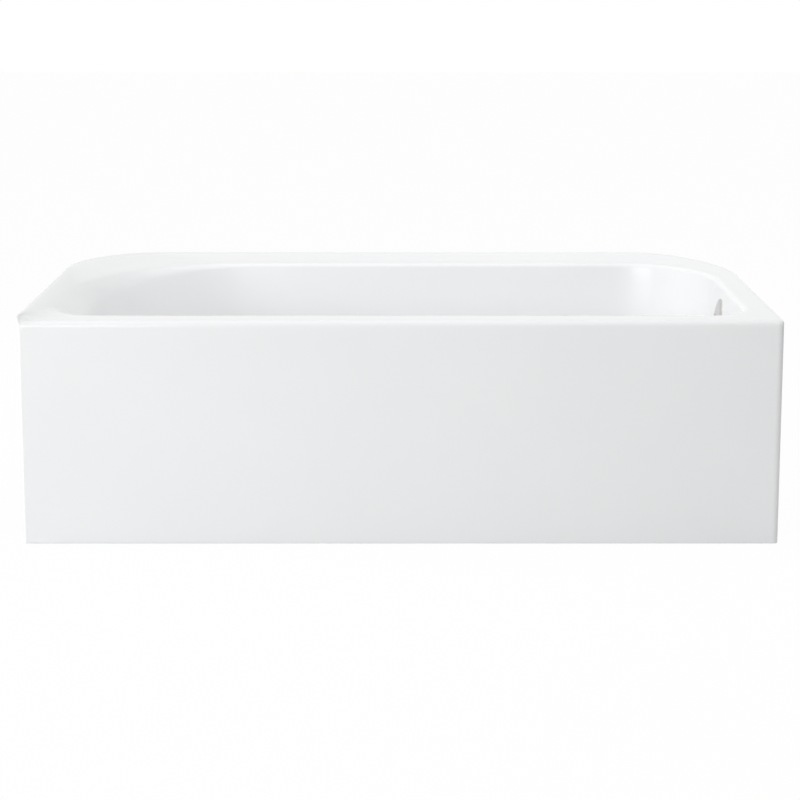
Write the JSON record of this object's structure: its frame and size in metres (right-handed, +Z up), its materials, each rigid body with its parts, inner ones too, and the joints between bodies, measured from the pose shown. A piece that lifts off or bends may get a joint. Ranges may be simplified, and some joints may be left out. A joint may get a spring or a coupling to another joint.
{
  "type": "alcove bathtub",
  "caption": "Alcove bathtub: moulded shell with a plain apron, sloped backrest, swept back corners, end drain with push-pull stopper and round overflow plate, on a board and feet.",
  "frame": {"origin": "on the floor, under the middle of the tub's box", "axes": "+X along the tub to its drain end, +Y from the apron to the back wall, +Z up"},
  "size_m": [1.524, 0.762, 0.47],
  "materials": {
    "shell": "polished white moulding",
    "foot": "moulded black",
    "board": "pressed board, sealed",
    "rail": "planed softwood",
    "brace": "glass-reinforced resin",
    "screw": "zinc plated",
    "nickel": "satin nickel",
    "seal": "black rubber",
    "bush": "natural nylon",
    "pipe": "white waste pipe"
  },
  "bodies": {
    "tub": {"apron_base_rail": "rail", "apron_brace_1": "brace", "apron_brace_2": "brace", "apron_brace_3": "brace", "back_rim_rail": "rail", "drain_flange_seal": "seal", "drain_shoe": "pipe", "drain_strainer": "nickel", "floor_board": "board", "foot_screws": "screw", "front_rim_rail": "rail", "overflow_elbow": "pipe", "overflow_faceplate": "nickel", "overflow_gasket": "seal", "overflow_screws": "screw", "overflow_slip_nut": "pipe", "overflow_slip_washer": "seal", "overflow_tube": "pipe", "shoe_gasket": "seal", "stopper_bush": "bush", "support_foot_1": "foot", "support_foot_2": "foot", "support_foot_3": "foot", "support_foot_4": "foot", "support_foot_5": "foot", "support_foot_6": "foot", "tailpiece": "pipe", "tub_shell": "shell", "waste_slip_nut": "pipe", "waste_slip_washer": "seal", "waste_tee": "pipe", "waste_tube": "pipe"},
    "stopper": {"stopper_cap": "nickel", "stopper_seal": "seal", "stopper_stem": "nickel"}
  },
  "joints": [
    {"name": "stopper_lift", "type": "slide", "parent": "tub", "child": "stopper", "axis": [0, 0, 1], "range_m": [0, 0.01]}
  ]
}
